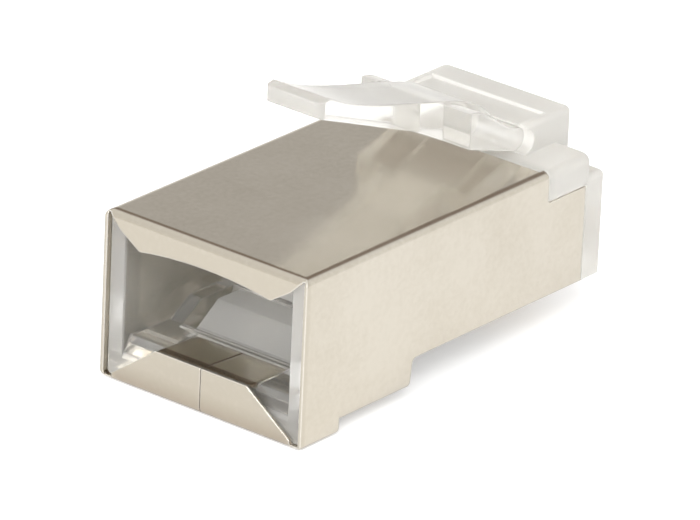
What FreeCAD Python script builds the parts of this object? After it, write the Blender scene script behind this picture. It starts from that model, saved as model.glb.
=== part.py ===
import math
import os

from FreeCAD import Vector
import Part

# Shielded eight-way modular plug, before it is fitted to a cable.  Millimetres.
# X runs from the cable entry to the nose, Y across the plug and Z up to the latch side.
# Lengths along X are counted from the rear edge of the shield and heights from the
# underside of the shield's skirt.  A setback is counted back from the nose, a drop down
# from the shield's top and a rise up from it.  Each finished piece is then moved back by
# half the plug's length, which puts the origin at the middle of the plug's base.

# Whole plug
PLUG_LENGTH = 21.58
RUNNING_GAP = 0.05          # between a hinge's knuckle and its seat

# Shield: one folded sheet
SHEET = 0.16
SHIELD_WIDTH = 11.70
SHIELD_HEIGHT = 8.29
SHIELD_FIT = 0.03           # between the sheet and the moulding inside it
BEND_RADIUS = 0.40          # outside of the folds
TOP_PANEL_SETBACK = 4.58
SIDE_PANEL_SETBACK = 1.52
NOTCH_SETBACK = 4.31
NOTCH_DROP = 1.52           # floor of the notches
SKIRT_LENGTH = 2.70         # deep rear part that takes the cable
SKIRT_STEP = 0.62
LIP_END = 7.65              # where the folded bottom lips stop
LIP_WIDTH = 2.05            # lips beside the strain relief, in from the side panels
LIP_WINDOW_START = 3.20
NOSE_EDGE_HEIGHT = 2.10     # lower edge of the side panels beside the contacts
NOSE_EDGE_SLANT = 0.15
SHEET_CORNER = 0.30         # rounding of cut corners in the sheet
SEAM_GAP = 0.05
TOP_FLANGE_HALF = 3.80      # half width of its lower edge
TOP_FLANGE_DROP = 1.54      # lower corners
TOP_FLANGE_ARCH = 0.32      # rise of its arched lower edge
TOP_FLANGE_KNEE_HALF = 4.90
TOP_FLANGE_KNEE_DROP = 0.84
TOP_FLANGE_RELIEF = 0.12    # slit between the flange's root and the side panels
BOTTOM_FLANGE_HALF = 2.65   # half width of its top edge
BOTTOM_FLANGE_HEIGHT = 2.25
BOTTOM_FLANGE_FOOT = 0.40   # lower ends of its slanted edges
BOTTOM_FLANGE_RELIEF = 0.50  # notch between its foot and the side panels
TAB_END = 2.95              # tabs folded forward from the bottom flange
TAB_FALL = 0.18
TAB_BEND_RADIUS = 0.35

# Housing: one clear moulding
HOUSING_SETBACK = 0.30      # rear face, in from the shield's edge
SIDE_WALL = 1.04
MOUTH_FLARE = 0.24          # how much wider each side is at the rear face
MOUTH_FLARE_LENGTH = 2.20
MOUTH_RAMP = 0.50           # rear end of the floor, which falls away
MOUTH_RAMP_DROP = 1.00
ROOF = 0.66
ENTRY_FLOOR = 2.15
RAIL_HEIGHT = 2.96
RAIL_RAMP_START = 3.36
RAIL_RAMP_LENGTH = 1.35
CAVITY_END = 9.40
FUNNEL_END = 11.50
NOSE_UNDERSIDE = 2.08
NOSE_DROP = 1.10            # top of the nose
NOSE_INSET = 0.05           # its sides, in from the shield's outside
NOSE_ROUNDING = 0.30
HEAD_DROP = 0.04            # top of the head, ahead of the shield's top panel
HEAD_LENGTH = 3.62
HEAD_CORNER = 0.70          # upright corners at its front
HEAD_ROUNDING = 0.45        # its outer top edges
HEAD_REAR_ROUNDING = 0.14   # its edges against the shield
HEAD_GAP = 0.08             # between the head and the shield's edges
ROOT_HALF = 3.75
ROOT_RISE = 1.41
ROOT_RECESS = 0.20
ROOT_WALL = 0.45
ROOT_PLATE = 1.56
ROOT_ROUNDING = 0.40
ROOT_TOP_ROUNDING = 0.25

# Latch lever, with its living hinge as a knuckle in a groove.  Reaches are counted back
# from the knuckle's middle and heights of the lever up from it.
LATCH_SETBACK = 3.48        # of the knuckle
LATCH_RISE = 0.62
LATCH_KNUCKLE = 0.57
LATCH_TOP_ANGLE = 62.0      # where the lever's top meets the knuckle, up from the nose side
LATCH_REACH = 12.35
LATCH_SLOPE = 0.378         # of the lever's underside
LATCH_HALF = 1.65
WAIST_REACH = 8.46
WAIST_DEPTH = 1.05
TAIL_HEIGHT = 4.11
TAIL_DEPTH = 0.75
TAIL_BEVEL = 0.60
TAIL_BEVEL_HEIGHT = 0.08
TAIL_CORNER = 0.30
GUSSET_REACH = 5.77         # where the underside steepens towards the wings
WING_HALF = 3.20
WING_REACH = 3.46           # locking shoulders
WING_HEIGHT = 2.23
WING_UNDERSIDE = 0.47
WING_FLAT = 0.60
WING_FLAT_FALL = 0.09
RIB_PROUD = 0.19            # middle of the lever above its wings
RIB_SWELL = (0.30, 0.70)    # of the wings' reach and height, on the rib's curved top
WING_SWELL = (0.42, 0.60)   # the same for the wings' own top

# Strain relief bar, hinged at its cable end
BAR_PIVOT_X = 3.60
BAR_KNUCKLE = 0.37
BAR_HALF = 3.20
BAR_SIDE_GAP = 0.75
BAR_CREST = 3.10
BAR_RAMP_LENGTH = 1.35
BAR_END = 6.60
BAR_END_GAP = 0.30
BAR_CLEARANCE = 0.06        # above the housing's underside
BAR_EDGE = 0.15

# Contacts and the wires' channels
WAYS = 8
PITCH = 1.02
CONTACT_THICKNESS = 0.32
CONTACT_LENGTH = 3.30
CONTACT_HEIGHT = 3.20
CONTACT_BODY = 2.00         # height below the piercing points
CONTACT_SETBACK = 1.88
CONTACT_PROUD = 0.60        # out of the underside before crimping
CRIMP_TRAVEL = 0.90
CONTACT_FIT = 0.03          # each side, in the slot
CONTACT_END_GAP = 0.05
CONTACT_CREST = 0.70        # rounding that the jack's springs bear on
CONTACT_HEEL = 0.25
PIERCING_POINTS = 3
PIERCING_TIP = 0.26
TRENCH_WIDTH = 0.62
TRENCH_DEPTH = 0.85
TRENCH_LEAD = 0.35          # how far the trenches run behind the contacts
CHANNEL_DIAMETER = 0.92
CHANNEL_HEIGHT = 5.15
CHANNEL_END_WALL = 0.55
CHANNEL_OVERLAP = 0.25      # how far each channel starts inside the funnel

BEYOND = 1.0                # how far a cutting solid runs past what it cuts

HALF = SHIELD_WIDTH / 2
TOP_PANEL_END = PLUG_LENGTH - TOP_PANEL_SETBACK
SIDE_PANEL_END = PLUG_LENGTH - SIDE_PANEL_SETBACK
NOTCH_START = PLUG_LENGTH - NOTCH_SETBACK
NOTCH_FLOOR = SHIELD_HEIGHT - NOTCH_DROP
INSET = SHEET + SHIELD_FIT
HOUSING_HALF = HALF - INSET
HOUSING_TOP = SHIELD_HEIGHT - INSET
HOUSING_UNDERSIDE = SKIRT_STEP + INSET
CAVITY_HALF = HOUSING_HALF - SIDE_WALL
CAVITY_TOP = HOUSING_TOP - ROOF
HEAD_TOP = SHIELD_HEIGHT - HEAD_DROP
HEAD_START = TOP_PANEL_END + HEAD_GAP
HEAD_END = HEAD_START + HEAD_LENGTH
STRIP_START = SIDE_PANEL_END + HEAD_GAP
NOSE_TOP = SHIELD_HEIGHT - NOSE_DROP
ROOT_TOP = SHIELD_HEIGHT + ROOT_RISE
LATCH_PIVOT_X = PLUG_LENGTH - LATCH_SETBACK
LATCH_PIVOT_Z = SHIELD_HEIGHT + LATCH_RISE
BAR_PIVOT_Z = ENTRY_FLOOR - BAR_KNUCKLE
CONTACT_FRONT = PLUG_LENGTH - CONTACT_SETBACK
CREST_HEIGHT = NOSE_UNDERSIDE - CONTACT_PROUD


def block(x, y, z):
    """A box between two values on each axis."""
    size = [high - low for low, high in (x, y, z)]
    return Part.makeBox(*size, Vector(x[0], y[0], z[0]))


def side_prism(points, half_width):
    """An outline of (x, z) points, as wide as twice half_width."""
    wire = Part.makePolygon([Vector(x, -half_width, z) for x, z in points + points[:1]])
    return Part.Face(wire).extrude(Vector(0, 2 * half_width, 0))


def top_prism(points, height):
    """An outline of (x, y) points and its mirror image across the plug, from the base up."""
    outline = points + [(x, -y) for x, y in reversed(points)]
    wire = Part.makePolygon([Vector(x, y, 0) for x, y in outline + outline[:1]])
    return Part.Face(wire).extrude(Vector(0, 0, height))


def rear_line(points):
    """An open line through (y, z) points, on the plane of the shield's rear face."""
    return Part.makePolygon([Vector(0, y, z) for y, z in points])


def rectangle(x, half_width, low, high):
    """A closed wire across the plug."""
    corners = [(-half_width, low), (half_width, low), (half_width, high), (-half_width, high)]
    return Part.makePolygon([Vector(x, y, z) for y, z in corners + corners[:1]])


def across(x, z, radius, half_width):
    """A cylinder along Y."""
    return Part.makeCylinder(radius, 2 * half_width, Vector(x, -half_width, z), Vector(0, 1, 0))


def rounded(shape, radius, wanted):
    """The shape with a fillet on each edge for which wanted(middle, direction) is true."""
    chosen = []
    for edge in shape.Edges:
        if not edge.Degenerated and wanted(edge.CenterOfMass, edge.tangentAt(edge.FirstParameter)):
            chosen.append(edge)
    return shape.makeFillet(radius, chosen)


def along(axis):
    """A test for a direction that runs along one axis, 0 for X, 1 for Y and 2 for Z."""
    return lambda direction: abs(direction[axis]) > 0.999


ALONG_X, ALONG_Y, ALONG_Z = along(0), along(1), along(2)


def near(value, target):
    return abs(value - target) < 1e-3


def contact_places():
    """The middle of each way across the plug."""
    first = -PITCH * (WAYS - 1) / 2
    return [first + PITCH * way for way in range(WAYS)]


# Shield

def wrapped_block(inset, radius, end, low):
    """A block from the rear, drawn in by inset, with rounded long edges and rear folds."""
    reach = HALF - inset
    solid = block((inset, end), (-reach, reach), (low + inset, SHIELD_HEIGHT - inset))

    def is_fold(middle, direction):
        return ALONG_X(direction) or (ALONG_Y(direction) and near(middle.x, inset))

    return rounded(solid, radius, is_fold)


def shield_skin(inset, radius, end):
    """The solid that the folded sheet wraps: the deep skirt and the plug's full length."""
    skirt = wrapped_block(inset, radius, SKIRT_LENGTH - inset, 0)
    return skirt.fuse(wrapped_block(inset, radius, end, SKIRT_STEP))


def rear_window():
    """The opening between the two rear flanges."""
    side = HALF - SHEET
    top = SHIELD_HEIGHT - SHEET
    lower_corner = SHIELD_HEIGHT - TOP_FLANGE_DROP
    one_side = [
        (TOP_FLANGE_HALF, lower_corner),
        (TOP_FLANGE_KNEE_HALF, SHIELD_HEIGHT - TOP_FLANGE_KNEE_DROP),
        (side - TOP_FLANGE_RELIEF, top),
        (side, top),
        (side, SHEET),
        (side - BOTTOM_FLANGE_RELIEF, SHEET),
        (side - BOTTOM_FLANGE_RELIEF, BOTTOM_FLANGE_FOOT),
        (BOTTOM_FLANGE_HALF, BOTTOM_FLANGE_HEIGHT),
    ]
    other_side = [(-y, z) for y, z in reversed(one_side)]
    arch = Part.Arc(
        Vector(0, -TOP_FLANGE_HALF, lower_corner),
        Vector(0, 0, lower_corner + TOP_FLANGE_ARCH),
        Vector(0, TOP_FLANGE_HALF, lower_corner),
    )
    wire = Part.Wire(rear_line(one_side + other_side).Edges + [arch.toShape()])
    window = Part.Face(wire).extrude(Vector(BEYOND + BEND_RADIUS, 0, 0))
    window.translate(Vector(-BEYOND, 0, 0))
    return window


def bottom_tabs():
    """The two tabs that run forward from the bottom flange's top edge."""
    top = BOTTOM_FLANGE_HEIGHT
    foot = top - BEND_RADIUS - SHEET
    outline = [
        (0, foot),
        (0, top),
        (TAB_END, top - TAB_FALL),
        (TAB_END, top - TAB_FALL - SHEET),
        (SHEET, top - SHEET),
        (SHEET, foot),
    ]
    tabs = side_prism(outline, BOTTOM_FLANGE_HALF)

    def is_outer_bend(middle, direction):
        return ALONG_Y(direction) and near(middle.x, 0) and near(middle.z, top)

    def is_far_corner(middle, direction):
        return near(middle.x, TAB_END) and not ALONG_Y(direction)

    tabs = rounded(tabs, TAB_BEND_RADIUS, is_outer_bend)
    return rounded(tabs, SHEET_CORNER, is_far_corner)


def beside_contacts():
    """What is cut from the sheet's lower edge, ahead of its bottom lips."""
    ahead = PLUG_LENGTH + BEYOND
    cut = side_prism(
        [
            (LIP_END, -BEYOND),
            (ahead, -BEYOND),
            (ahead, NOSE_EDGE_HEIGHT),
            (LIP_END + NOSE_EDGE_SLANT, NOSE_EDGE_HEIGHT),
            (LIP_END, SKIRT_STEP),
        ],
        HALF + BEYOND,
    )

    def is_inner_corner(middle, direction):
        above_slant = near(middle.x, LIP_END + NOSE_EDGE_SLANT)
        return ALONG_Y(direction) and above_slant and near(middle.z, NOSE_EDGE_HEIGHT)

    return rounded(cut, SHEET_CORNER, is_inner_corner)


def side_notches():
    """What is cut from the top of both side panels, for the head's lugs."""
    outside = HALF + BEYOND
    ahead = PLUG_LENGTH + BEYOND
    cut = block((NOTCH_START, ahead), (-outside, outside), (NOTCH_FLOOR, SHIELD_HEIGHT + BEYOND))

    def is_inner_corner(middle, direction):
        return ALONG_Y(direction) and near(middle.x, NOTCH_START) and near(middle.z, NOTCH_FLOOR)

    return rounded(cut, SHEET_CORNER / 2, is_inner_corner)


def make_shield():
    outside = shield_skin(0, BEND_RADIUS, SIDE_PANEL_END)
    inside = shield_skin(SHEET, BEND_RADIUS - SHEET, SIDE_PANEL_END + BEYOND)
    flat_top = HALF - BEND_RADIUS
    over_head = block(
        (TOP_PANEL_END, SIDE_PANEL_END + BEYOND),
        (-flat_top, flat_top),
        (SHIELD_HEIGHT - INSET, SHIELD_HEIGHT + BEYOND),
    )
    between_lips = block(
        (LIP_WINDOW_START, SIDE_PANEL_END + BEYOND),
        (LIP_WIDTH - HALF, HALF - LIP_WIDTH),
        (-BEYOND, HOUSING_UNDERSIDE),
    )
    seam = block(
        (-BEYOND, LIP_WINDOW_START + BEYOND),
        (-SEAM_GAP / 2, SEAM_GAP / 2),
        (-BEYOND, BOTTOM_FLANGE_HEIGHT + BEYOND),
    )
    sheet = outside.cut([inside, rear_window(), beside_contacts(), side_notches(), over_head])
    return sheet.cut(between_lips).fuse(bottom_tabs()).cut(seam).removeSplitter()


# Housing

def housing_core():
    """The moulding inside the shield, and the nose."""
    skirt_end = SKIRT_LENGTH - INSET
    riser = LIP_END - SHIELD_FIT
    outline = [
        (skirt_end, HOUSING_UNDERSIDE),
        (riser, HOUSING_UNDERSIDE),
        (riser + NOSE_EDGE_SLANT, NOSE_UNDERSIDE),
        (STRIP_START, NOSE_UNDERSIDE),
        (STRIP_START, HOUSING_TOP),
        (skirt_end, HOUSING_TOP),
    ]
    middle_part = side_prism(outline, HOUSING_HALF)
    skirt = block(
        (HOUSING_SETBACK, skirt_end), (-HOUSING_HALF, HOUSING_HALF), (INSET, HOUSING_TOP))
    nose_half = HALF - NOSE_INSET
    nose = block((STRIP_START, PLUG_LENGTH), (-nose_half, nose_half), (NOSE_UNDERSIDE, NOSE_TOP))

    def is_long_edge(middle, direction):
        return ALONG_X(direction)

    def is_nose_edge(middle, direction):
        on_front = near(middle.x, PLUG_LENGTH)
        return on_front or (ALONG_X(direction) and near(middle.z, NOSE_TOP))

    fold = BEND_RADIUS - SHEET
    skirt = rounded(skirt, fold, is_long_edge)
    middle_part = rounded(middle_part, fold, is_long_edge)
    return skirt.fuse([middle_part, rounded(nose, NOSE_ROUNDING, is_nose_edge)])


def housing_head():
    """What is flush with the shield: the top ahead of it, the lugs in its notches, the strips."""
    head = block((HEAD_START, HEAD_END), (-HALF, HALF), (NOSE_UNDERSIDE, HEAD_TOP))
    lug_start = NOTCH_START + HEAD_GAP
    lug_floor = NOTCH_FLOOR + HEAD_GAP
    cap_half = HALF - BEND_RADIUS - HEAD_GAP
    outside = HALF + BEYOND
    above = HEAD_TOP + BEYOND
    side_panels = block((0, STRIP_START), (-outside, outside), (0, lug_floor))
    beside_cap = block((0, lug_start), (cap_half, outside), (0, above))

    def is_front_corner(middle, direction):
        return ALONG_Z(direction) and near(middle.x, HEAD_END)

    def is_top_edge(middle, direction):
        return near(middle.z, HEAD_TOP) and not near(middle.x, HEAD_START)

    def is_rear_edge(middle, direction):
        on_cap = near(middle.x, HEAD_START) and near(middle.z, HEAD_TOP)
        on_lug = near(middle.x, lug_start) and near(abs(middle.y), HALF)
        return (on_cap and ALONG_Y(direction)) or (on_lug and ALONG_Z(direction))

    head = rounded(head, HEAD_CORNER, is_front_corner)
    head = rounded(head, HEAD_ROUNDING, is_top_edge)
    head = head.cut([side_panels, beside_cap, beside_cap.mirror(Vector(), Vector(0, 1, 0))])
    return rounded(head, HEAD_REAR_ROUNDING, is_rear_edge)


def latch_root():
    """The block at the nose that carries the latch, with a shallow recess behind a plate."""
    rear = LATCH_PIVOT_X
    root = block((rear, PLUG_LENGTH), (-ROOT_HALF, ROOT_HALF), (NOSE_TOP - BEYOND, ROOT_TOP))

    def is_front_corner(middle, direction):
        return ALONG_Z(direction) and near(middle.x, PLUG_LENGTH)

    def is_top_edge(middle, direction):
        return near(middle.z, ROOT_TOP) and not near(middle.x, rear)

    root = rounded(root, ROOT_ROUNDING, is_front_corner)
    root = rounded(root, ROOT_TOP_ROUNDING, is_top_edge)
    inside = ROOT_HALF - ROOT_WALL
    recess = block(
        (rear - BEYOND, PLUG_LENGTH - ROOT_PLATE),
        (-inside, inside),
        (ROOT_TOP - ROOT_RECESS, ROOT_TOP + BEYOND),
    )
    groove = across(LATCH_PIVOT_X, LATCH_PIVOT_Z, LATCH_KNUCKLE + RUNNING_GAP, HALF)
    return root.cut([recess, groove])


def jacket_cavity():
    """The room for the cable's jacket, with rails beside the strain relief bar."""
    rear = HOUSING_SETBACK - BEYOND
    mouth_half = CAVITY_HALF + MOUTH_FLARE
    mouth_floor = ENTRY_FLOOR - MOUTH_RAMP_DROP
    flare_end = HOUSING_SETBACK + MOUTH_FLARE_LENGTH
    from_side = side_prism(
        [
            (rear, mouth_floor),
            (HOUSING_SETBACK, mouth_floor),
            (HOUSING_SETBACK + MOUTH_RAMP, ENTRY_FLOOR),
            (RAIL_RAMP_START, ENTRY_FLOOR),
            (RAIL_RAMP_START + RAIL_RAMP_LENGTH, RAIL_HEIGHT),
            (CAVITY_END, RAIL_HEIGHT),
            (CAVITY_END, CAVITY_TOP),
            (rear, CAVITY_TOP),
        ],
        mouth_half,
    )
    from_above = top_prism(
        [
            (rear, mouth_half),
            (HOUSING_SETBACK, mouth_half),
            (flare_end, CAVITY_HALF),
            (CAVITY_END, CAVITY_HALF),
        ],
        SHIELD_HEIGHT,
    )
    seat_half = BOTTOM_FLANGE_HALF + SHIELD_FIT
    tab_seat = block(
        (rear, TAB_END + SHIELD_FIT),
        (-seat_half, seat_half),
        (BOTTOM_FLANGE_HEIGHT - TAB_FALL - INSET, ENTRY_FLOOR + SHIELD_FIT),
    )
    return from_side.common(from_above).fuse(tab_seat)


def bar_window():
    """The gap through the floor that the strain relief bar swings in."""
    half = BAR_HALF + BAR_SIDE_GAP
    seat_radius = BAR_KNUCKLE + RUNNING_GAP
    above = RAIL_HEIGHT + BEYOND
    through = block((BAR_PIVOT_X, BAR_END + BAR_END_GAP), (-half, half), (-BEYOND, above))
    over_knuckle = block(
        (BAR_PIVOT_X - seat_radius, BAR_PIVOT_X), (-half, half), (ENTRY_FLOOR, above))
    seat = across(BAR_PIVOT_X, BAR_PIVOT_Z, seat_radius, half)
    return through.fuse([over_knuckle, seat])


def wire_funnel():
    """The narrowing that leads the cores from the jacket's room to their channels."""
    radius = CHANNEL_DIAMETER / 2
    reach = PITCH * (WAYS - 1) / 2 + radius
    start = rectangle(CAVITY_END - SHIELD_FIT, CAVITY_HALF, RAIL_HEIGHT, CAVITY_TOP)
    end = rectangle(FUNNEL_END, reach, CHANNEL_HEIGHT - radius, CHANNEL_HEIGHT + radius)
    return Part.makeLoft([start, end], True)


def way_cut(y):
    """One way's channel, contact slot and the trench that is open at the nose."""
    start = FUNNEL_END - CHANNEL_OVERLAP
    end = PLUG_LENGTH - CHANNEL_END_WALL
    channel = Part.makeCylinder(
        CHANNEL_DIAMETER / 2, end - start, Vector(start, y, CHANNEL_HEIGHT), Vector(1, 0, 0))
    slot_half = CONTACT_THICKNESS / 2 + CONTACT_FIT
    slot_rear = CONTACT_FRONT - CONTACT_LENGTH - CONTACT_END_GAP
    slot_top = CREST_HEIGHT + CONTACT_HEIGHT + CRIMP_TRAVEL + CONTACT_END_GAP
    slot = block(
        (slot_rear, CONTACT_FRONT + CONTACT_END_GAP),
        (y - slot_half, y + slot_half),
        (NOSE_UNDERSIDE - BEYOND, slot_top),
    )
    trench = block(
        (slot_rear - TRENCH_LEAD, PLUG_LENGTH + BEYOND),
        (y - TRENCH_WIDTH / 2, y + TRENCH_WIDTH / 2),
        (NOSE_UNDERSIDE - BEYOND, NOSE_UNDERSIDE + TRENCH_DEPTH),
    )
    return channel.fuse([slot, trench])


def make_housing():
    housing = housing_core().fuse([housing_head(), latch_root()])
    housing = housing.cut(jacket_cavity())
    housing = housing.cut(wire_funnel())
    housing = housing.cut(bar_window())
    for y in contact_places():
        housing = housing.cut(way_cut(y))
    return housing.removeSplitter()


# Latch

def from_pivot(back, up):
    """A point (x, z) of the lever, counted back and up from the knuckle's middle."""
    return LATCH_PIVOT_X - back, LATCH_PIVOT_Z + up


def knuckle_point(degrees):
    angle = math.radians(degrees)
    return from_pivot(-LATCH_KNUCKLE * math.cos(angle), LATCH_KNUCKLE * math.sin(angle))


def underside_meets_knuckle():
    """Where a line from under the shoulders touches the knuckle from below."""
    away = math.atan2(WING_UNDERSIDE, -WING_REACH)
    turn = math.acos(LATCH_KNUCKLE / math.hypot(WING_REACH, WING_UNDERSIDE))
    return knuckle_point(math.degrees(away + turn))


def underside_height(reach):
    """Height of the straight underside between the tail and the gusset."""
    return TAIL_HEIGHT - LATCH_SLOPE * (LATCH_REACH - reach)


def lever_slice(half_width, underside, end, top):
    """One width of the lever: its underside, its end, a curved top and the knuckle."""
    def at(point):
        return Vector(point[0], -half_width, point[1])

    below = [end[-1]] + underside + [underside_meets_knuckle()]
    knuckle = Part.Arc(at(below[-1]), at(knuckle_point(0)), at(knuckle_point(LATCH_TOP_ANGLE)))
    curve = Part.BSplineCurve()
    curve.interpolate([at(point) for point in [knuckle_point(LATCH_TOP_ANGLE)] + top + end[:1]])
    straight = Part.makePolygon([at(point) for point in end + below[1:]])
    edges = Part.__sortEdges__(straight.Edges + [knuckle.toShape(), curve.toShape()])
    return Part.Face(Part.Wire(edges)).extrude(Vector(0, 2 * half_width, 0))


def latch_rib():
    """The lever's middle, from the knuckle to the tail."""
    tail_top = TAIL_HEIGHT + TAIL_DEPTH
    rib = lever_slice(
        LATCH_HALF,
        [
            from_pivot(GUSSET_REACH, underside_height(GUSSET_REACH)),
            from_pivot(WING_REACH, WING_UNDERSIDE),
        ],
        [
            from_pivot(LATCH_REACH - TAIL_BEVEL, tail_top + TAIL_BEVEL_HEIGHT),
            from_pivot(LATCH_REACH, tail_top),
            from_pivot(LATCH_REACH, TAIL_HEIGHT),
        ],
        [
            from_pivot(WING_REACH * RIB_SWELL[0], WING_HEIGHT * RIB_SWELL[1]),
            from_pivot(WING_REACH, WING_HEIGHT + RIB_PROUD),
            from_pivot(WAIST_REACH, underside_height(WAIST_REACH) + WAIST_DEPTH),
        ],
    )

    def is_tail_corner(middle, direction):
        return ALONG_Z(direction) and near(middle.x, LATCH_PIVOT_X - LATCH_REACH)

    return rounded(rib, TAIL_CORNER, is_tail_corner)


def make_latch():
    wings = lever_slice(
        WING_HALF,
        [],
        [from_pivot(WING_REACH, WING_HEIGHT), from_pivot(WING_REACH, WING_UNDERSIDE)],
        [
            from_pivot(WING_REACH * WING_SWELL[0], WING_HEIGHT * WING_SWELL[1]),
            from_pivot(WING_REACH - WING_FLAT, WING_HEIGHT - WING_FLAT_FALL),
        ],
    )
    return latch_rib().fuse(wings).removeSplitter()


# Strain relief bar

def make_strain_relief_bar():
    underside = HOUSING_UNDERSIDE + BAR_CLEARANCE
    bar = side_prism(
        [
            (BAR_PIVOT_X, ENTRY_FLOOR),
            (BAR_PIVOT_X + BAR_RAMP_LENGTH, BAR_CREST),
            (BAR_END, BAR_CREST),
            (BAR_END, underside),
            (BAR_PIVOT_X + BAR_KNUCKLE, underside),
            (BAR_PIVOT_X, BAR_PIVOT_Z - BAR_KNUCKLE),
        ],
        BAR_HALF,
    )

    def is_gripping_edge(middle, direction):
        return ALONG_Y(direction) and near(middle.z, BAR_CREST)

    bar = rounded(bar, BAR_EDGE, is_gripping_edge)
    return bar.fuse(across(BAR_PIVOT_X, BAR_PIVOT_Z, BAR_KNUCKLE, BAR_HALF)).removeSplitter()


# Contacts

def make_contact(y):
    """One flat blade, with a rounded crest at the nose and a row of piercing points."""
    rear = CONTACT_FRONT - CONTACT_LENGTH
    shoulder = CREST_HEIGHT + CONTACT_BODY
    tip = CREST_HEIGHT + CONTACT_HEIGHT
    spacing = CONTACT_LENGTH / PIERCING_POINTS
    outline = [(CONTACT_FRONT, CREST_HEIGHT), (CONTACT_FRONT, shoulder)]
    for point in range(PIERCING_POINTS):
        middle = CONTACT_FRONT - spacing * (point + 0.5)
        outline += [
            (middle + PIERCING_TIP / 2, tip),
            (middle - PIERCING_TIP / 2, tip),
            (middle - spacing / 2, shoulder),
        ]
    outline.append((rear, CREST_HEIGHT))
    blade = side_prism(outline, CONTACT_THICKNESS / 2)

    def is_crest(middle, direction):
        at_front = near(middle.x, CONTACT_FRONT) and near(middle.z, CREST_HEIGHT)
        return ALONG_Y(direction) and at_front

    def is_heel(middle, direction):
        return ALONG_Y(direction) and near(middle.x, rear) and near(middle.z, CREST_HEIGHT)

    blade = rounded(blade, CONTACT_CREST, is_crest)
    blade = rounded(blade, CONTACT_HEEL, is_heel)
    blade.translate(Vector(0, y, 0))
    return blade


def make_parts():
    """Every separate piece by name."""
    parts = {
        "shield": make_shield(),
        "housing": make_housing(),
        "latch": make_latch(),
        "strain_relief_bar": make_strain_relief_bar(),
    }
    for number, y in enumerate(contact_places(), start=1):
        parts[f"contact_{number}"] = make_contact(y)
    return parts


def main():
    os.makedirs("parts", exist_ok=True)
    for name, shape in make_parts().items():
        shape.translate(Vector(-PLUG_LENGTH / 2, 0, 0))
        shape.exportStep(f"parts/{name}.step")
        box = shape.optimalBoundingBox()
        corners = [box.XMin, box.XMax, box.YMin, box.YMax, box.ZMin, box.ZMax]
        print(name, shape.isValid(), len(shape.Solids), f"{shape.Volume:.3f} mm3",
              [round(value, 3) for value in corners])


main()
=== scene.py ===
import math

import bpy
from mathutils import Matrix, Vector


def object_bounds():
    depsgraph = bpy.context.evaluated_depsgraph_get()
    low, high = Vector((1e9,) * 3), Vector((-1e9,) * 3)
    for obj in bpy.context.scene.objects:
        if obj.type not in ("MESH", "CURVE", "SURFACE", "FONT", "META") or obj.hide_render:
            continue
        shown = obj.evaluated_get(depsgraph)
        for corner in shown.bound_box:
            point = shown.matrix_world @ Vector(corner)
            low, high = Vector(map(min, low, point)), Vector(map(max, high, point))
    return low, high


bl_info = {
    "name": "Shielded modular plug",
    "version": (1, 0, 0),
    "blender": (4, 5, 0),
    "location": "3D View > Sidebar > Modular plug",
    "description": "Finishes a shielded eight-way modular plug and lights it in a small studio",
    "category": "Object",
}

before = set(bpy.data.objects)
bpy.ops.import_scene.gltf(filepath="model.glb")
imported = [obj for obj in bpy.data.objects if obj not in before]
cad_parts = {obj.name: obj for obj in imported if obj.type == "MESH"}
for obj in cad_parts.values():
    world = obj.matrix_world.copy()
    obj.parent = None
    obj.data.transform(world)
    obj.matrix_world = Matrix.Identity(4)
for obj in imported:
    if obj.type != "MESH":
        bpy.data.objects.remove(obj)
CAD_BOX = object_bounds()

MM = 0.001
PER_MM = 1 / MM
MIX_COLOURS = (6, 7)        # a Mix node's sockets for colours, which share their names
MIX_RESULT = 2

# Places on the plug, in millimetres from the middle of its base.

FROSTED_NOSE = (4.5, 7.0)       # from clear to frosted, along the plug
FROSTED_MOUTH = (-10.30, -10.42)
REAR_FLANGE_SHADE = (-10.30, -10.60)    # from bright to painted shade on the rear flanges, which stands in for the dimmer floor they mirror
TAB_BEND_SHADE = ((-10.30, 0.0, 2.1), (0.14, 2.70, 0.5), 0.12)    # painted shade along the tabs' bend; middle, half size and softness
# painted shade in the narrow seam between the two tabs
TAB_SEAM_SHADE = ((-9.10, 0.0, 2.1), (1.30, 0.03, 0.5), 0.06)
# painted shade on the bottom flange, darkest at its foot by the floor
FLANGE_FOOT_SHADE = ((-10.79, 0.0, 0.0), (0.40, 4.60, 0.10), 1.1)

# How strongly each finish, painted shade and painted highlight shows.

MOTTLE = 0.25               # how far small mottles shift the plating's shade, either way
CREASE_SHADE_RANGE = (0.35, 0.70)  # from painted shade at its darkest in a crease to open plating
FOLD_SHADE = 0.5            # painted shade at the bottom flange's foot, as a share of a crease's
EDGE_HIGHLIGHT_RANGE = (0.80, 0.96)  # from a painted highlight on a cut edge to flat plating
GRAIN_DEPTH = 1.2e-6        # this and the next three in metres
WAVE_DEPTH = 25e-6
FLOW_DEPTH = 6e-6
GOLD_GRAIN_DEPTH = 2e-6
MOUTH_FROST = 0.7           # haze at the mouth, as a share of the nose's

# The stage, and the room that the plug reflects.

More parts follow.
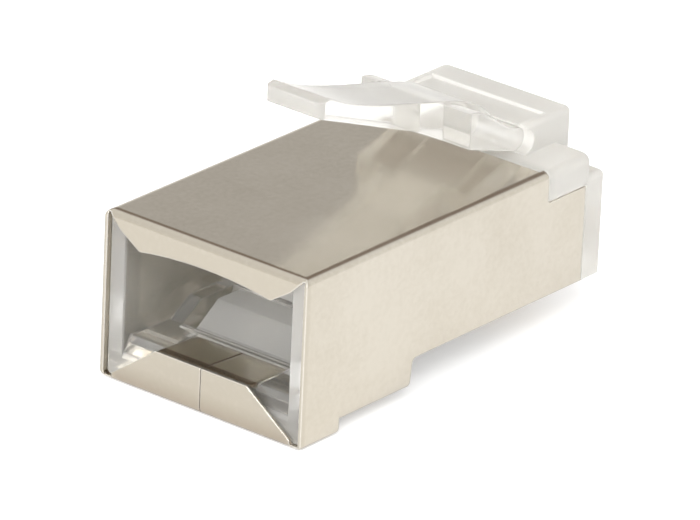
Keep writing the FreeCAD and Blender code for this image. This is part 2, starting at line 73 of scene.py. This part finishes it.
LAMPS = (                   # name, place, width, share of the lamp power, seen in the metal
    ("key", (-0.21, -0.29, 0.38), 0.20, 0.9, True),
    ("edge", (-0.45, -0.14, 0.275), 0.16, 0.32, True),
    ("fill", (-0.50, -0.16, 0.20), 0.70, 4.0, False),
)
FAR_BANDS = (               # height of a direction away from the camera, and its colour
    (0.00, (1.00, 0.99, 0.97)),
    (0.25, (0.95, 0.94, 0.92)),
    (0.36, (0.577, 0.565, 0.545)),
    (0.44, (0.50, 0.48, 0.46)),
    (0.52, (0.28, 0.23, 0.20)),
)
NEAR_BANDS = (              # the same towards the camera, where the soft light is
    (0.00, (1.00, 0.99, 0.97)),
    (0.50, (0.95, 0.94, 0.93)),
    (0.90, (1.00, 1.00, 1.00)),
)
CAMERA_SIDE = (-0.785, -0.620, 0.0)     # the level direction towards the camera
SOFT_LIGHT_EDGE = (-0.54, -0.40)    # from the far room to the near one
CAMERA_TARGET = (-7.61 * MM, -5.66 * MM, 8.29 * MM)
FLOOR_COLOUR = (0.77, 0.77, 0.77)
FLOOR_GAP = 0.02 * MM       # keeps the floor off the shield's underside
FLOOR_LIFTS = {             # glow of the floor, seen straight, in the metal and through plastic
    "Is Camera Ray": 0.35,
    "Is Glossy Ray": 0.04,
    "Is Transmission Ray": 0.24,
}
THROUGH_WHITE = 0.25        # how far the plastic shows white behind it, and not the room


# Helpers

def add_node(tree, kind, inputs=None, **settings):
    """A new node, with its settings, and each input set to a value or joined to a socket."""
    node = tree.nodes.new(kind)
    for name, value in settings.items():
        setattr(node, name, value)
    for name, value in (inputs or {}).items():
        if isinstance(value, bpy.types.NodeSocket):
            tree.links.new(value, node.inputs[name])
        else:
            node.inputs[name].default_value = value
    return node


def new_material(name):
    """A material with an empty node tree and its output node."""
    material = bpy.data.materials.new(name)
    material.use_nodes = True
    material.node_tree.nodes.clear()
    output = add_node(material.node_tree, "ShaderNodeOutputMaterial")
    return material, material.node_tree, output


def millimetres(tree, stretch=(1.0, 1.0, 1.0)):
    """Object coordinates in millimetres, squeezed along each axis by stretch."""
    place = add_node(tree, "ShaderNodeTexCoord").outputs["Object"]
    scale = [PER_MM * factor for factor in stretch]
    mapping = add_node(tree, "ShaderNodeMapping", {"Vector": place, "Scale": scale})
    return mapping.outputs["Vector"]


def noise(tree, vector, scale, detail=3.0, roughness=0.5):
    """Soft clouds of values between about 0.3 and 0.7, finer for a larger scale."""
    inputs = {"Vector": vector, "Scale": scale, "Detail": detail, "Roughness": roughness}
    return add_node(tree, "ShaderNodeTexNoise", inputs).outputs["Fac"]


def ranged(tree, value, low, high, start=0.3, end=0.7):
    """The value between start and end, spread from low to high."""
    inputs = {"Value": value, "From Min": start, "From Max": end, "To Min": low, "To Max": high}
    return add_node(tree, "ShaderNodeMapRange", inputs).outputs["Result"]


def blend_colours(tree, factor, first, second):
    """From the first colour to the second, each a colour or a socket."""
    mix = add_node(tree, "ShaderNodeMix", data_type="RGBA")
    tree.links.new(factor, mix.inputs["Factor"])
    for number, colour in zip(MIX_COLOURS, (first, second)):
        if isinstance(colour, bpy.types.NodeSocket):
            tree.links.new(colour, mix.inputs[number])
        else:
            mix.inputs[number].default_value = (*colour, 1.0)
    return mix.outputs[MIX_RESULT]


def vector_math(tree, operation, *vectors):
    """The outputs of one step of arithmetic on vectors."""
    inputs = dict(enumerate(vectors))
    return add_node(tree, "ShaderNodeVectorMath", inputs, operation=operation).outputs


def near_box(tree, place, middle, half, softness, most=1.0):
    """The most inside a box, and falling to nothing over the softness round it."""
    away = vector_math(tree, "SUBTRACT", place, middle)["Vector"]
    away = vector_math(tree, "ABSOLUTE", away)["Vector"]
    away = vector_math(tree, "SUBTRACT", away, half)["Vector"]
    axes = add_node(tree, "ShaderNodeSeparateXYZ", {"Vector": away}).outputs
    outside = larger(tree, axes["X"], axes["Y"], axes["Z"])
    return ranged(tree, outside, most, 0.0, 0.0, softness)


def larger(tree, *values):
    """The largest of the values."""
    most, *rest = values
    for value in rest:
        inputs = {0: most, 1: value}
        most = add_node(tree, "ShaderNodeMath", inputs, operation="MAXIMUM").outputs["Value"]
    return most


def along_plug(tree, place):
    """The share of a place that runs from the cable's end to the nose."""
    return add_node(tree, "ShaderNodeSeparateXYZ", {"Vector": place}).outputs["X"]


def softened_edges(tree, radius):
    """The surface's direction, turned smoothly round the edges."""
    return add_node(tree, "ShaderNodeBevel", {"Radius": radius}, samples=6).outputs["Normal"]


def bump(tree, height, distance, strength=1.0, normal=None):
    """The surface's direction, with dents as deep as the distance."""
    inputs = {"Height": height, "Distance": distance, "Strength": strength}
    if normal is not None:
        inputs["Normal"] = normal
    return add_node(tree, "ShaderNodeBump", inputs).outputs["Normal"]


def dress(node_name, material):
    """Gives a CAD node its finish."""
    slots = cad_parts[node_name].data.materials
    slots.clear()
    slots.append(material)


# Sizes and colours

class PlugFinishes(bpy.types.PropertyGroup):
    nickel: bpy.props.FloatVectorProperty(
        name="Nickel", description="Colour of the shield's plating",
        subtype="COLOR", size=3, min=0, max=1, default=(0.69, 0.645, 0.56))
    # random duller patches of plating, and the painted shade on the rear flanges
    nickel_dull_and_shade: bpy.props.FloatVectorProperty(
        name="Nickel shade", description="Colour of the plating's duller patches",
        subtype="COLOR", size=3, min=0, max=1, default=(0.60, 0.55, 0.46))
    # colour of the painted shade in creases, the tabs' bend and seam, and the bottom flange's
    # foot
    nickel_painted_shade: bpy.props.FloatVectorProperty(
        name="Nickel crease", description="Colour of the plating down in its creases and seams",
        subtype="COLOR", size=3, min=0, max=1, default=(0.30, 0.23, 0.17))
    # colour of the painted highlight along the sheet's cut edges
    nickel_edge_highlight: bpy.props.FloatVectorProperty(
        name="Nickel edge", description="Colour of the plating where a cut edge is rubbed bright",
        subtype="COLOR", size=3, min=0, max=1, default=(0.97, 0.94, 0.88))
    # how far the painted shade reaches out from a crease
    crease_shade_reach: bpy.props.FloatProperty(
        name="Crease depth", description="How far a crease darkens the plating beside it",
        unit="LENGTH", default=0.30 * MM)
    nickel_roughness: bpy.props.FloatProperty(
        name="Nickel roughness", description="How far the plating blurs what it reflects",
        subtype="FACTOR", min=0, max=1, default=0.17)
    edge_softness: bpy.props.FloatProperty(
        name="Edge softness", description="Rounding that the sheet's cut edges seem to have",
        unit="LENGTH", default=0.13 * MM)
    plastic: bpy.props.FloatVectorProperty(
        name="Plastic", description="Tint of the clear mouldings",
        subtype="COLOR", size=3, min=0, max=1, default=(0.985, 0.975, 0.945))
    plastic_index: bpy.props.FloatProperty(
        name="Plastic index", description="Refractive index of the clear mouldings",
        min=1, max=2, default=1.585)
    mould_rounding: bpy.props.FloatProperty(
        name="Mould rounding", description="Rounding that the mouldings' edges seem to have",
        unit="LENGTH", default=0.12 * MM)
    plastic_haze: bpy.props.FloatProperty(
        name="Plastic haze", description="Share of light that the mouldings scatter",
        subtype="FACTOR", min=0, max=1, default=0.13)
    frosted_haze: bpy.props.FloatProperty(
        name="Frosted haze", description="The same at the nose, which is moulded matt",
        subtype="FACTOR", min=0, max=1, default=0.50)
    bar_haze: bpy.props.FloatProperty(
        name="Bar haze", description="The same for the strain relief bar",
        subtype="FACTOR", min=0, max=1, default=0.36)
    lever_haze: bpy.props.FloatProperty(
        name="Lever haze", description="The same for the latch lever",
        subtype="FACTOR", min=0, max=1, default=0.22)
    gold: bpy.props.FloatVectorProperty(
        name="Gold", description="Colour of the contacts' plating",
        subtype="COLOR", size=3, min=0, max=1, default=(0.95, 0.70, 0.33))


class PlugStudio(bpy.types.PropertyGroup):
    azimuth: bpy.props.FloatProperty(
        name="Azimuth", description="Camera's turn round the plug, from the view along +Y",
        subtype="ANGLE", default=math.radians(-51.73))
    elevation: bpy.props.FloatProperty(
        name="Elevation", description="Camera's height above the horizon",
        subtype="ANGLE", default=math.radians(23.503))
    roll: bpy.props.FloatProperty(
        name="Roll", description="Camera's turn about its own line of sight",
        subtype="ANGLE", default=math.radians(-2.641))
    distance: bpy.props.FloatProperty(
        name="Distance", description="From the camera to the spot it looks at",
        unit="LENGTH", default=352.4 * MM)
    lens: bpy.props.FloatProperty(
        name="Lens", description="Focal length of the camera", subtype="DISTANCE_CAMERA",
        default=411.43)
    floor: bpy.props.FloatProperty(
        name="Floor", description="Width of the floor", unit="LENGTH", default=1.2)
    lamp_power: bpy.props.FloatProperty(
        name="Lamp power", description="Power that each lamp takes its share of",
        unit="POWER", default=1.0)


# Materials

def nickel_material(finishes):
    """Semi-bright plating on rolled sheet: faint lengthwise grain, clouds and soft waves, with
    painted shade in creases, seams and folds and painted highlights on cut edges.
    """
    material, tree, output = new_material("nickel_plated_sheet")
    place = millimetres(tree)
    along_grain = millimetres(tree, (0.12, 2.4, 2.4))
    clouds = noise(tree, place, 0.28, detail=4.0)
    grain = noise(tree, along_grain, 5.0, detail=5.0, roughness=0.65)
    waves = noise(tree, place, 0.16, detail=1.0)
    mottles = noise(tree, place, 4.0, detail=3.0, roughness=0.6)
    forward = along_plug(tree, place)
    # painted shade on the rear flanges, added on top of the random duller patches
    rear_shade = ranged(tree, forward, 0.0, 1.0, *REAR_FLANGE_SHADE)
    dull_and_shaded = larger(tree, ranged(tree, clouds, 0.5, 0.0), rear_shade)
    mottled_and_shaded = add_node(tree, "ShaderNodeMath", {
        0: ranged(tree, mottles, -MOTTLE, MOTTLE), 1: dull_and_shaded,
    }, operation="ADD").outputs["Value"]
    plating = blend_colours(tree, mottled_and_shaded, finishes.nickel, finishes.nickel_dull_and_shade)
    # painted shade: ambient occlusion in creases, plus boxes at the tabs' bend and seam and the
    # flange's foot
    open_sky = add_node(
        tree, "ShaderNodeAmbientOcclusion", {"Distance": finishes.crease_shade_reach},
        samples=8, only_local=True).outputs["AO"]
    shaded = larger(
        tree,
        ranged(tree, open_sky, 1.0, 0.0, *CREASE_SHADE_RANGE),
        near_box(tree, place, *TAB_BEND_SHADE),
        near_box(tree, place, *TAB_SEAM_SHADE),
        near_box(tree, place, *FLANGE_FOOT_SHADE, FOLD_SHADE),
    )
    # painted highlight where the softened edge normal turns away from the flat one
    edges = softened_edges(tree, finishes.edge_softness)
    flat = add_node(tree, "ShaderNodeNewGeometry").outputs["Normal"]
    likeness = vector_math(tree, "DOT_PRODUCT", edges, flat)["Value"]
    painted_glint = ranged(tree, likeness, 1.0, 0.0, *EDGE_HIGHLIGHT_RANGE)
    plating = blend_colours(tree, painted_glint, plating, finishes.nickel_edge_highlight)
    colour = blend_colours(tree, shaded, plating, finishes.nickel_painted_shade)
    rough = finishes.nickel_roughness
    roughness = ranged(tree, clouds, rough * 0.85, rough * 1.2)
    waved = bump(tree, waves, WAVE_DEPTH, 0.10, edges)
    grained = bump(tree, grain, GRAIN_DEPTH, 0.08, waved)
    shader = add_node(tree, "ShaderNodeBsdfPrincipled", {
        "Base Color": colour,
        "Metallic": 1.0,
        "Roughness": roughness,
        "Normal": grained,
    })
    tree.links.new(shader.outputs["BSDF"], output.inputs["Surface"])
    return material


def frosted_ends(tree, place, finishes):
    """The housing's haze, which grows at the nose and at the mouth."""
    forward = along_plug(tree, place)
    clear, frosted = finishes.plastic_haze, finishes.frosted_haze
    nose = ranged(tree, forward, clear, frosted, *FROSTED_NOSE)
    mouth = ranged(tree, forward, clear, MOUTH_FROST * frosted, *FROSTED_MOUTH)
    return larger(tree, nose, mouth)


def clear_material(finishes, name, haze=None):
    """Clear polycarbonate with flow lines, a fine mould texture and an even haze, if given."""
    material, tree, output = new_material(name)
    place = millimetres(tree)
    flow = noise(tree, millimetres(tree, (0.5, 1.0, 1.0)), 0.9, detail=2.0)
    specks = noise(tree, place, 7.0, detail=4.0)
    edges = softened_edges(tree, finishes.mould_rounding)
    glassy = add_node(tree, "ShaderNodeBsdfPrincipled", {
        "Base Color": (*finishes.plastic, 1.0),
        "Roughness": ranged(tree, specks, 0.06, 0.13),
        "IOR": finishes.plastic_index,
        "Transmission Weight": 1.0,
        "Normal": bump(tree, flow, FLOW_DEPTH, 0.3, edges),
    })
    through = add_node(tree, "ShaderNodeBsdfTranslucent", {"Color": (*finishes.plastic, 1.0)})
    back = add_node(tree, "ShaderNodeBsdfDiffuse", {"Color": (*finishes.plastic, 1.0)})
    milk = add_node(tree, "ShaderNodeMixShader", {"Fac": 0.5})
    tree.links.new(through.outputs["BSDF"], milk.inputs[1])
    tree.links.new(back.outputs["BSDF"], milk.inputs[2])
    if haze is None:
        haze = frosted_ends(tree, place, finishes)
    mix = add_node(tree, "ShaderNodeMixShader", {"Fac": haze})
    tree.links.new(glassy.outputs["BSDF"], mix.inputs[1])
    tree.links.new(milk.outputs["Shader"], mix.inputs[2])
    tree.links.new(mix.outputs["Shader"], output.inputs["Surface"])
    return material


def gold_material(finishes):
    """Gold plating over stamped bronze, with faint lengthwise grain."""
    material, tree, output = new_material("gold_plated_contact")
    grain = noise(tree, millimetres(tree, (0.4, 4.0, 4.0)), 6.0, detail=4.0)
    shader = add_node(tree, "ShaderNodeBsdfPrincipled", {
        "Base Color": (*finishes.gold, 1.0),
        "Metallic": 1.0,
        "Roughness": ranged(tree, grain, 0.16, 0.30),
        "Normal": bump(tree, grain, GOLD_GRAIN_DEPTH, 0.3),
    })
    tree.links.new(shader.outputs["BSDF"], output.inputs["Surface"])
    return material


# Stage

def floor_material():
    """A matt pale floor, lifted to white where it is seen or mirrored as the background."""
    material, tree, output = new_material("pale_floor")
    matt = add_node(tree, "ShaderNodeBsdfDiffuse", {"Color": (*FLOOR_COLOUR, 1.0)})
    path = add_node(tree, "ShaderNodeLightPath").outputs
    lift = 0.0
    for ray, strength in FLOOR_LIFTS.items():
        lift = add_node(tree, "ShaderNodeMath", {
            0: path[ray], 1: strength, 2: lift,
        }, operation="MULTIPLY_ADD").outputs["Value"]
    glow = add_node(tree, "ShaderNodeEmission", {"Strength": lift})
    both = add_node(tree, "ShaderNodeAddShader")
    tree.links.new(matt.outputs["BSDF"], both.inputs[0])
    tree.links.new(glow.outputs["Emission"], both.inputs[1])
    tree.links.new(both.outputs["Shader"], output.inputs["Surface"])
    return material


def add_lamp(name, place, target, width, power, mirrored):
    """A square lamp at a place, turned towards the target, and mirrored in the metal or not."""
    lamp = bpy.data.lights.new(name, "AREA")
    lamp.shape = "SQUARE"
    lamp.size = width
    lamp.energy = power
    holder = bpy.data.objects.new(name, lamp)
    holder.location = place
    holder.rotation_euler = (Vector(target) - Vector(place)).to_track_quat("-Z", "Y").to_euler()
    holder.visible_glossy = mirrored
    bpy.context.scene.collection.objects.link(holder)


def bands_of_colour(tree, height, bands):
    """A colour that changes with height, from low to high."""
    ramp = add_node(tree, "ShaderNodeValToRGB", {"Fac": height})
    points = ramp.color_ramp.elements
    while len(points) < len(bands):
        points.new(0.5)
    for point, (place, colour) in zip(points, bands):
        point.position = place
        point.color = (*colour, 1.0)
    return ramp.outputs["Color"]


def set_world():
    """White behind the plug, and a room for it to reflect: dim beyond, bright on this side."""
    world = bpy.data.worlds.new("studio")
    world.use_nodes = True
    tree = world.node_tree
    tree.nodes.clear()
    direction = add_node(tree, "ShaderNodeTexCoord").outputs["Generated"]
    height = add_node(tree, "ShaderNodeSeparateXYZ", {"Vector": direction}).outputs["Z"]
    turned = vector_math(tree, "DOT_PRODUCT", direction, CAMERA_SIDE)["Value"]
    near = ranged(tree, turned, 0.0, 1.0, *SOFT_LIGHT_EDGE)
    far_room = bands_of_colour(tree, height, FAR_BANDS)
    near_room = bands_of_colour(tree, height, NEAR_BANDS)
    room = blend_colours(tree, near, far_room, near_room)
    lit = add_node(tree, "ShaderNodeBackground", {"Color": room, "Strength": 1.0})
    seen = add_node(tree, "ShaderNodeBackground", {"Color": (1, 1, 1, 1), "Strength": 1.0})
    path = add_node(tree, "ShaderNodeLightPath").outputs
    through = add_node(tree, "ShaderNodeMath", {
        0: path["Is Transmission Ray"], 1: THROUGH_WHITE,
    }, operation="MULTIPLY").outputs["Value"]
    white = larger(tree, path["Is Camera Ray"], through)
    mix = add_node(tree, "ShaderNodeMixShader", {"Fac": white})
    output = add_node(tree, "ShaderNodeOutputWorld")
    tree.links.new(lit.outputs["Background"], mix.inputs[1])
    tree.links.new(seen.outputs["Background"], mix.inputs[2])
    tree.links.new(mix.outputs["Shader"], output.inputs["Surface"])
    bpy.context.scene.world = world


def add_camera(studio, target):
    """The camera, set back from the target by the studio's angles and distance."""
    turn, rise = studio.azimuth, studio.elevation
    back = Vector((
        math.sin(turn) * math.cos(rise),
        -math.cos(turn) * math.cos(rise),
        math.sin(rise),
    ))
    lens = bpy.data.cameras.new("camera")
    lens.lens = studio.lens
    lens.clip_start = 10 * MM
    lens.clip_end = 5.0
    camera = bpy.data.objects.new("camera", lens)
    upright = (-back).to_track_quat("-Z", "Y").to_matrix()
    rolled = upright @ Matrix.Rotation(-studio.roll, 3, "Z")
    camera.matrix_world = Matrix.Translation(target + back * studio.distance) @ rolled.to_4x4()
    bpy.context.scene.collection.objects.link(camera)
    bpy.context.scene.camera = camera


# Operators

class PLUG_OT_shield(bpy.types.Operator):
    """Gives the folded shield its nickel plating"""
    bl_idname = "plug.shield"
    bl_label = "Plate the shield"

    def execute(self, context):
        dress("shield", nickel_material(context.scene.plug_finishes))
        return {"FINISHED"}


class PLUG_OT_mouldings(bpy.types.Operator):
    """Gives the housing, the latch and the strain relief bar their clear plastic"""
    bl_idname = "plug.mouldings"
    bl_label = "Clear the mouldings"

    def execute(self, context):
        finishes = context.scene.plug_finishes
        body = clear_material(finishes, "clear_polycarbonate")
        bar = clear_material(finishes, "clear_polycarbonate_bar", finishes.bar_haze)
        lever = clear_material(finishes, "clear_polycarbonate_lever", finishes.lever_haze)
        dress("housing", body)
        dress("strain_relief_bar", bar)
        dress("latch", lever)
        return {"FINISHED"}


class PLUG_OT_contacts(bpy.types.Operator):
    """Gives the contacts their gold plating"""
    bl_idname = "plug.contacts"
    bl_label = "Plate the contacts"

    def execute(self, context):
        material = gold_material(context.scene.plug_finishes)
        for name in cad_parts:
            if name.startswith("contact_"):
                dress(name, material)
        return {"FINISHED"}


class PLUG_OT_stage(bpy.types.Operator):
    """Sets the floor, the lamps, the background and the camera"""
    bl_idname = "plug.stage"
    bl_label = "Set the stage"

    def execute(self, context):
        studio = context.scene.plug_studio
        low, high = CAD_BOX
        bpy.ops.mesh.primitive_plane_add(size=studio.floor, location=(0, 0, low.z - FLOOR_GAP))
        floor = context.object
        floor.name = "floor"
        floor.data.materials.append(floor_material())
        set_world()
        middle = Vector((0, 0, (low.z + high.z) / 2))
        for name, place, width, share, mirrored in LAMPS:
            add_lamp(name, place, middle, width, share * studio.lamp_power, mirrored)
        add_camera(studio, Vector(CAMERA_TARGET))
        context.scene.view_settings.view_transform = "Standard"
        paths = context.scene.cycles
        paths.max_bounces = 24
        paths.glossy_bounces = 20
        paths.transmission_bounces = 20
        return {"FINISHED"}


class PLUG_PT_panel(bpy.types.Panel):
    """Lists the plug's finishes and its stage"""
    bl_idname = "PLUG_PT_panel"
    bl_label = "Modular plug"
    bl_space_type = "VIEW_3D"
    bl_region_type = "UI"
    bl_category = "Modular plug"

    def draw(self, context):
        for settings in (context.scene.plug_finishes, context.scene.plug_studio):
            for name in settings.__annotations__:
                self.layout.prop(settings, name)
        for operator in OPERATORS:
            self.layout.operator(operator.bl_idname)


GROUPS = (PlugFinishes, PlugStudio)
OPERATORS = (PLUG_OT_shield, PLUG_OT_mouldings, PLUG_OT_contacts, PLUG_OT_stage)


def register():
    for cls in (*GROUPS, *OPERATORS, PLUG_PT_panel):
        bpy.utils.register_class(cls)
    bpy.types.Scene.plug_finishes = bpy.props.PointerProperty(type=PlugFinishes)
    bpy.types.Scene.plug_studio = bpy.props.PointerProperty(type=PlugStudio)


def unregister():
    del bpy.types.Scene.plug_studio
    del bpy.types.Scene.plug_finishes
    for cls in reversed((*GROUPS, *OPERATORS, PLUG_PT_panel)):
        bpy.utils.unregister_class(cls)


def main():
    register()
    bpy.ops.plug.shield()
    bpy.ops.plug.mouldings()
    bpy.ops.plug.contacts()
    bpy.ops.plug.stage()


if __name__ == "__main__":
    main()
